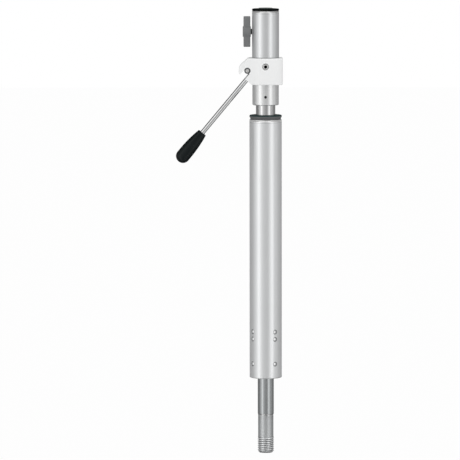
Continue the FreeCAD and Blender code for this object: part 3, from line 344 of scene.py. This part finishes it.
def stake_shade_and_highlight(material):
    """Each punch mark has a painted shade ring round a painted highlight on its floor."""
    tree, shader = parts_of(material)
    x, y, z = axes(tree, STAKE_TURN)
    aside = calculate(tree, "MINIMUM", calculate(tree, "ABSOLUTE", x), calculate(tree, "ABSOLUTE", y))
    above = None
    for row in STAKE_ROWS:
        away = calculate(tree, "ABSOLUTE", calculate(tree, "SUBTRACT", z, row))
        above = away if above is None else calculate(tree, "MINIMUM", above, away)
    off = length_of(tree, aside, above)
    # Painted shade on the dimple's wall, then a painted highlight on its floor.
    tint(material, band(tree, off, 0.0026, 0.0045, 0.0006), (0.20, 0.21, 0.21), 0.8)
    lit_floor = disc(tree, off, 0.0021, 0.0005)
    tint(material, lit_floor, (0.97, 0.97, 0.97))
    metallic = shader.inputs["Metallic"]
    tree.links.new(calculate(tree, "MULTIPLY", one_minus(tree, lit_floor), metallic.default_value), metallic)


def tube_top(material, top):
    """The tube's mouth is rounded by a bump and carries a painted highlight, with a darker band painted
    under it.
    """
    rim, line = top - 0.0040, top - 0.0058
    tree = material.node_tree
    z = up_axis(tree)
    round_edge(material, z, top - 0.0034, top, 0.0021)
    # A painted highlight on the rim, then a darker painted band below it.
    tint(material, step_up(tree, z, rim, rim + 0.0008), (0.95, 0.95, 0.95))
    tint(material, band(tree, z, line, rim, 0.0007), (0.45, 0.46, 0.465), 0.45)


def tube_foot(material):
    """The tube's lower end is painted darker."""
    tree = material.node_tree
    tint(material, band(tree, up_axis(tree), -0.002, 0.0010, 0.0005), DARK_BAND_GREY, 0.6)


def step_highlight(material):
    """The chamfer above the relief is painted brighter as a highlight."""
    tree = material.node_tree
    tint(material, band(tree, up_axis(tree), STEP_FOOT - EDGE, STEP_TOP, 0.0001), (0.62, 0.62, 0.62))


def thread_root_shade(material):
    """The thread's roots are painted dark as shade between the flanks, so the crests stand out bright."""
    tree = material.node_tree
    x, y, _ = axes(tree)
    tint(material, disc(tree, length_of(tree, x, y), 0.0140, 0.0007), (0.34, 0.345, 0.35))


def screw_socket_shade(material):
    """The screw's socket is painted black as shade inside, and the head's edge has painted shadow crescents
    above and below it.
    """
    tree = material.node_tree
    x, _, z = axes(tree)
    above = calculate(tree, "SUBTRACT", z, SCREW_Z)
    off = length_of(tree, x, above)
    shadow_crescents = step_up(tree, calculate(tree, "ABSOLUTE", above), 0.0018, 0.0048)
    rim = calculate(tree, "MULTIPLY", band(tree, off, 0.0046, 0.009, 0.0003), shadow_crescents)
    tint(material, rim, (0.33, 0.325, 0.32))
    tint(material, disc(tree, off, 0.0031, 0.0002), (0.004, 0.004, 0.004))


def housing_shade_line(material):
    """A painted shade line where the head tube enters the housing."""
    tree = material.node_tree
    line = band(tree, up_axis(tree), HOUSING_TOP - 0.002, HOUSING_TOP + 0.0014, 0.0008)
    tint(material, line, DARK_BAND_GREY, 0.85)


def guide_rim_shade(material):
    """The guide's top rim is painted dark as shade, and its side is paler."""
    tree = material.node_tree
    rim = FLANGE_TOP - 0.0022
    tint(material, step_up(tree, up_axis(tree), rim, rim + 0.0008), (0.010, 0.030, 0.030))


def cap_disc_reflection(material):
    """The raised centre of the cap is painted greyer than its rim as a reflection."""
    tree = material.node_tree
    disc_side = CAP_TOP + 0.0004
    tint(material, step_up(tree, up_axis(tree), disc_side, disc_side + EDGE), (0.10, 0.112, 0.108))


stake_shade_and_highlight(anodised)
thread_root_shade(thread_steel)
screw_socket_shade(screw_satin)
housing_shade_line(anodised_head)
tube_top(anodised_head, HEAD_TOP)
tube_top(anodised, TUBE_TOP)
step_highlight(steel)
cap_disc_reflection(black_cap)
tube_foot(anodised)
guide_rim_shade(black_guide)


# Which piece has which finish. The base pin is dressed further down.

DRESS = {
    anodised: ["outer_tube"],
    anodised_head: ["head_tube"],
    anodised_turned: ["coupling_sleeve", "bottom_plug", "rod_gland", "piston", "clamp_nut"],
    bright: ["inner_tube"],
    steel: [
        "spring_standoff",
        "cylinder_nut",
        "lower_washer",
        "upper_washer",
        "lower_rod_nut",
        "upper_rod_nut",
        "clamp_screw",
    ],
    satin: ["pivot_pin"],
    screw_satin: ["housing_screw"],
    stainless: ["cross_pin", "piston_rod", "release_pin"],
    drawn_rod: ["lever_rod"],
    black_steel: ["gas_cylinder", "lower_guide_clip", "upper_guide_clip", "sleeve_set_screw"],
    white: ["lever_housing"],
    black: ["lever_grip"],
    black_cap: ["top_cap", "clamp_bush"],
    black_matt: ["lever_hub"],
    black_guide: ["top_bushing"],
    grey: ["wing_knob"],
    nylon: ["guide_ring"],
    rubber: ["wiper_ring"],
}

for material, names in DRESS.items():
    for name in names:
        nodes[name].data.materials.clear()
        nodes[name].data.materials.append(material)


# The base pin with its cut thread stands in for the plain CAD pin.


def within_one(value):
    return min(max(value, 0.0), 1.0)


def thread_radius(height, angle):
    """Radius of the M30 thread at one height and angle: flanks of about 60 degrees, flat crest and root."""
    phase = ((height - PITCH * angle / (2 * math.pi)) / PITCH) % 1.0
    from_crest = abs(phase - 0.5) * 2
    cut = within_one((from_crest - CREST_SHARE) / FLANK_SHARE)
    fade_in = within_one((THREAD_TOP - height) / RUN_OUT)
    radius = THREAD_R - THREAD_DEPTH * cut * fade_in
    cone = THREAD_R - TIP_CHAMFER + (height - PIN_TIP)
    return min(radius, cone)


def pin_rows():
    """Rings of (radius, height) pairs from the neck's top to the tip. A radius of 0 is one point."""
    profile = [(0.0, NECK_TOP), (NECK_R - NECK_CHAMFER, NECK_TOP), (NECK_R, NECK_TOP - NECK_CHAMFER)]
    profile += [(NECK_R, 0.0), (PIN_R - EDGE, 0.0), (PIN_R, -EDGE)]
    profile += [(PIN_R, height) for height in (*SMOOTHING_RINGS, STEP_TOP)]
    profile += [(RELIEF_R + EDGE, STEP_KNEE), (RELIEF_R, RELIEF_TOP), (RELIEF_R, RELIEF_RING)]
    profile += [(RELIEF_R, THREAD_TOP + THREAD_START), (THREAD_R, THREAD_TOP)]
    rows = [[place] * PIN_SIDES for place in profile]
    for step in range(1, THREAD_ROWS + 1):
        height = THREAD_TOP + (PIN_TIP - THREAD_TOP) * step / THREAD_ROWS
        angles = [2 * math.pi * turn / PIN_SIDES for turn in range(PIN_SIDES)]
        rows.append([(thread_radius(height, angle), height) for angle in angles])
    rows.append([(0.0, PIN_TIP)] * PIN_SIDES)
    return rows


def ring_corners(made, row):
    """The corners of one row: a ring, or a single point on the axis."""
    if row[0][0] == 0.0:
        return [made.verts.new((0, 0, row[0][1]))]
    corners = []
    for turn, (radius, height) in enumerate(row):
        angle = 2 * math.pi * turn / PIN_SIDES
        corners.append(made.verts.new((radius * math.cos(angle), radius * math.sin(angle), height)))
    return corners


def join_rings(made, upper, lower):
    """Faces between two rings, either of which may be a single point."""
    for turn in range(PIN_SIDES):
        after = (turn + 1) % PIN_SIDES
        if len(upper) == 1:
            made.faces.new((upper[0], lower[turn], lower[after]))
        elif len(lower) == 1:
            made.faces.new((upper[after], upper[turn], lower[0]))
        else:
            made.faces.new((upper[after], upper[turn], lower[turn], lower[after]))


def pin_finish(height):
    """The place of the finish in the pin's list: plain above the relief, then relief, then thread."""
    if height < THREAD_TOP:
        return 2
    return 1 if height < STEP_FOOT else 0


def threaded_pin():
    made = bmesh.new()
    rings = [ring_corners(made, row) for row in pin_rows()]
    for upper, lower in zip(rings, rings[1:]):
        join_rings(made, upper, lower)
    made.normal_update()
    bmesh.ops.recalc_face_normals(made, faces=made.faces)
    for face in made.faces:
        face.smooth = True
        face.material_index = pin_finish(face.calc_center_median().z)
    for edge in made.edges:
        lowest = min(corner.co.z for corner in edge.verts)
        crease = THREAD_CREASE if lowest < THREAD_TOP else PLAIN_CREASE
        if len(edge.link_faces) == 2 and edge.calc_face_angle() > crease:
            edge.smooth = False
    mesh = bpy.data.meshes.new("threaded_pin")
    made.to_mesh(mesh)
    made.free()
    pin = bpy.data.objects.new("threaded_pin", mesh)
    scene.collection.objects.link(pin)
    for material in (steel, relief_steel, thread_steel):
        mesh.materials.append(material)
    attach(pin, "column")
    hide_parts("base_pin")


threaded_pin()


# The studio: a pale floor, white surroundings, a wall for the metal to mirror and three soft lights.

WHITE = (1.0, 1.0, 1.0)
FLOOR_REACH = 30.0
FLOOR_GLOW = 0.94


def shows_background(tree):
    """One where a camera, glossy or transmission ray looks, and zero where light is gathered."""
    path = tree.nodes.new("ShaderNodeLightPath")
    value = path.outputs["Is Camera Ray"]
    for kind in ("Is Glossy Ray", "Is Transmission Ray"):
        value = calculate(tree, "MAXIMUM", value, path.outputs[kind])
    return value


def mix_shaders(tree, factor, first, second):
    node = tree.nodes.new("ShaderNodeMixShader")
    for socket, value in zip(node.inputs, (factor, first, second)):
        tree.links.new(value, socket)
    return node.outputs[0]


def background(tree, strength):
    node = tree.nodes.new("ShaderNodeBackground")
    feed(tree, node.inputs["Color"], WHITE)
    feed(tree, node.inputs["Strength"], strength)
    return node.outputs[0]


def surroundings(level):
    """White to the eye, and a soft light of the given level on the part."""
    world = bpy.data.worlds.new("studio")
    scene.world = world
    tree = empty_tree(world)
    output = tree.nodes.new("ShaderNodeOutputWorld")
    surface = mix_shaders(tree, shows_background(tree), background(tree, level), background(tree, 1.0))
    tree.links.new(surface, output.inputs["Surface"])


def add_mesh(name, corners, faces):
    mesh = bpy.data.meshes.new(name)
    mesh.from_pydata(corners, [], faces)
    thing = bpy.data.objects.new(name, mesh)
    scene.collection.objects.link(thing)
    return thing


def floor(height):
    """A floor far below the part, which glows so that it looks as white as the surroundings."""
    far = FLOOR_REACH
    corners = [(-far, -far, height), (far, -far, height), (far, far, height), (-far, far, height)]
    thing = add_mesh("floor", corners, [(0, 1, 2, 3)])
    material, tree, shader = new_material("floor")
    shader.inputs["Roughness"].default_value = 0.9
    shader.inputs["Specular IOR Level"].default_value = 0.0
    cloud = noise(tree, (1.5, 1.5, 1.5))
    tone = blend_colours(tree, cloud, (0.94, 0.94, 0.94), (0.96, 0.96, 0.96))
    tree.links.new(tone, shader.inputs["Base Color"])
    glow = tree.nodes.new("ShaderNodeEmission")
    glow.inputs["Strength"].default_value = 1.0
    share = calculate(tree, "MULTIPLY", shows_background(tree), FLOOR_GLOW)
    surface = mix_shaders(tree, share, shader.outputs["BSDF"], glow.outputs[0])
    output = next(node for node in tree.nodes if node.type == "OUTPUT_MATERIAL")
    tree.links.new(surface, output.inputs["Surface"])
    thing.data.materials.append(material)


def direction(azimuth, away, height):
    """A place round the column: azimuth 0 is in front of it, 90 to its right."""
    turn = math.radians(azimuth)
    return Vector((away * math.sin(turn), -away * math.cos(turn), height))


def soft_light(name, azimuth, away, height, aim, width, tall, power):
    """A lamp that no gloss mirrors, aimed at one height of the column's axis."""
    data = bpy.data.lights.new(name, "AREA")
    data.shape = "RECTANGLE"
    data.size = width
    data.size_y = tall
    data.energy = power
    thing = bpy.data.objects.new(name, data)
    scene.collection.objects.link(thing)
    thing.location = direction(azimuth, away, height)
    thing.rotation_euler = (Vector((0, 0, aim)) - thing.location).to_track_quat("-Z", "Z").to_euler()
    thing.visible_glossy = False


# The wall's tone at each azimuth in degrees: two tall panels of light, a thin one at the right, grey
# between them and darker behind. A vertical tube mirrors azimuth 2a at a place a degrees round from its
# front, so each tone stands for one strip of its width.

WALL_TONES = [
    (-180, 0.27),
    (-150, 0.27),
    (-128, 0.27),
    (-110, 0.29),
    (-92, 0.40),
    (-77, 0.70),
    (-63, 1.00),
    (-56, 1.35),
    (-51, 1.85),
    (-45, 1.45),
    (-38, 1.10),
    (-26, 0.70),
    (-14, 0.60),
    (-2, 0.50),
    (9, 0.41),
    (21, 0.48),
    (32, 0.95),
    (40, 1.35),
    (45, 1.65),
    (51, 1.25),
    (58, 0.88),
    (70, 0.57),
    (77, 0.50),
    (82, 0.95),
    (87, 0.50),
    (104, 0.36),
    (125, 0.29),
    (150, 0.27),
    (180, 0.27),
]
WALL_STRENGTH = 2.0
WALL_RADIUS = 2.2
WALL_PROFILE = ((0.02, -1.36), (WALL_RADIUS, -0.9), (WALL_RADIUS, 2.2), (0.02, 3.4))
WALL_SIDES = 180
DIM_ABOVE = (1.1, 1.6)
DIM_BELOW = (0.4, 0.8)
DIM_KEEP = 1.3


def wall_mesh():
    corners, faces = [], []
    for radius, height in WALL_PROFILE:
        for step in range(WALL_SIDES):
            corners.append(direction(360 * step / WALL_SIDES, radius, height))
    for row in range(len(WALL_PROFILE) - 1):
        for step in range(WALL_SIDES):
            here = row * WALL_SIDES + step
            after = row * WALL_SIDES + (step + 1) % WALL_SIDES
            faces.append((here, here + WALL_SIDES, after + WALL_SIDES, after))
    return add_mesh("studio_wall", corners, faces)


def wall_tones(tree):
    """The wall's tone as a share of its full strength, by azimuth."""
    place = tree.nodes.new("ShaderNodeTexCoord")
    round_about = tree.nodes.new("ShaderNodeTexGradient")
    round_about.gradient_type = "RADIAL"
    tree.links.new(place.outputs["Object"], round_about.inputs["Vector"])
    tones = tree.nodes.new("ShaderNodeValToRGB")
    stops = sorted(((0.25 + azimuth / 360) % 1.0, tone / WALL_STRENGTH) for azimuth, tone in WALL_TONES)
    ramp = tones.color_ramp.elements
    ramp[0].position = stops[0][0]
    ramp[1].position = stops[-1][0]
    for position, tone in stops[1:-1]:
        ramp.new(position)
    for element, (position, tone) in zip(ramp, stops):
        element.color = (tone, tone, tone, 1)
    tree.links.new(round_about.outputs["Fac"], tones.inputs["Fac"])
    return tones.outputs["Color"]


def wall_level(tree, tones):
    """The wall's strength. High above and far below the part it falls off where the wall is grey."""
    z = up_axis(tree)
    above = step_up(tree, z, *DIM_ABOVE)
    below = step_up(tree, calculate(tree, "MULTIPLY", z, -1.0), *DIM_BELOW)
    steep = calculate(tree, "ADD", above, below)
    dimmed = one_minus(tree, calculate(tree, "MULTIPLY", tones, DIM_KEEP))
    level = one_minus(tree, calculate(tree, "MULTIPLY", steep, dimmed))
    return calculate(tree, "MULTIPLY", level, WALL_STRENGTH)


def studio_wall():
    """A round wall, drawn in above and below, that only metal and gloss see."""
    thing = wall_mesh()
    material = bpy.data.materials.new("studio_wall")
    tree = empty_tree(material)
    glow = tree.nodes.new("ShaderNodeEmission")
    tones = wall_tones(tree)
    tree.links.new(tones, glow.inputs["Color"])
    tree.links.new(wall_level(tree, tones), glow.inputs["Strength"])
    output = tree.nodes.new("ShaderNodeOutputMaterial")
    tree.links.new(glow.outputs[0], output.inputs["Surface"])
    thing.data.materials.append(material)
    thing.visible_camera = False
    thing.visible_diffuse = False
    thing.visible_shadow = False


surroundings(0.82)
floor(-1.4)
studio_wall()
soft_light("key_left", azimuth=-56, away=2.6, height=0.5, aim=0.35, width=0.9, tall=3.2, power=14)
soft_light("key_right", azimuth=43, away=2.6, height=0.5, aim=0.35, width=0.9, tall=3.2, power=10)
soft_light("overhead", azimuth=20, away=0.6, height=2.6, aim=0.3, width=1.6, tall=1.6, power=16)


# The camera stands where the photograph's did: far in front and a little above the head.

EYE = Vector((0.0, -8.1, 1.066))
AIM = Vector((-0.0664, 0.0, 0.2758))
ROLL = math.radians(-0.08)
PICTURE_PIXELS = 460
METRES_PER_PIXEL = 0.0018616
SENSOR_MM = 36.0
SIGHT = 200

camera_data = bpy.data.cameras.new("camera")
camera = bpy.data.objects.new("camera", camera_data)
scene.collection.objects.link(camera)
camera.location = EYE
camera.rotation_euler = (AIM - EYE).to_track_quat("-Z", "Y").to_euler()
camera.rotation_euler.rotate_axis("Z", ROLL)
camera_data.sensor_width = SENSOR_MM
camera_data.lens = SENSOR_MM * (AIM - EYE).length / (PICTURE_PIXELS * METRES_PER_PIXEL)
camera_data.clip_end = SIGHT
scene.camera = camera
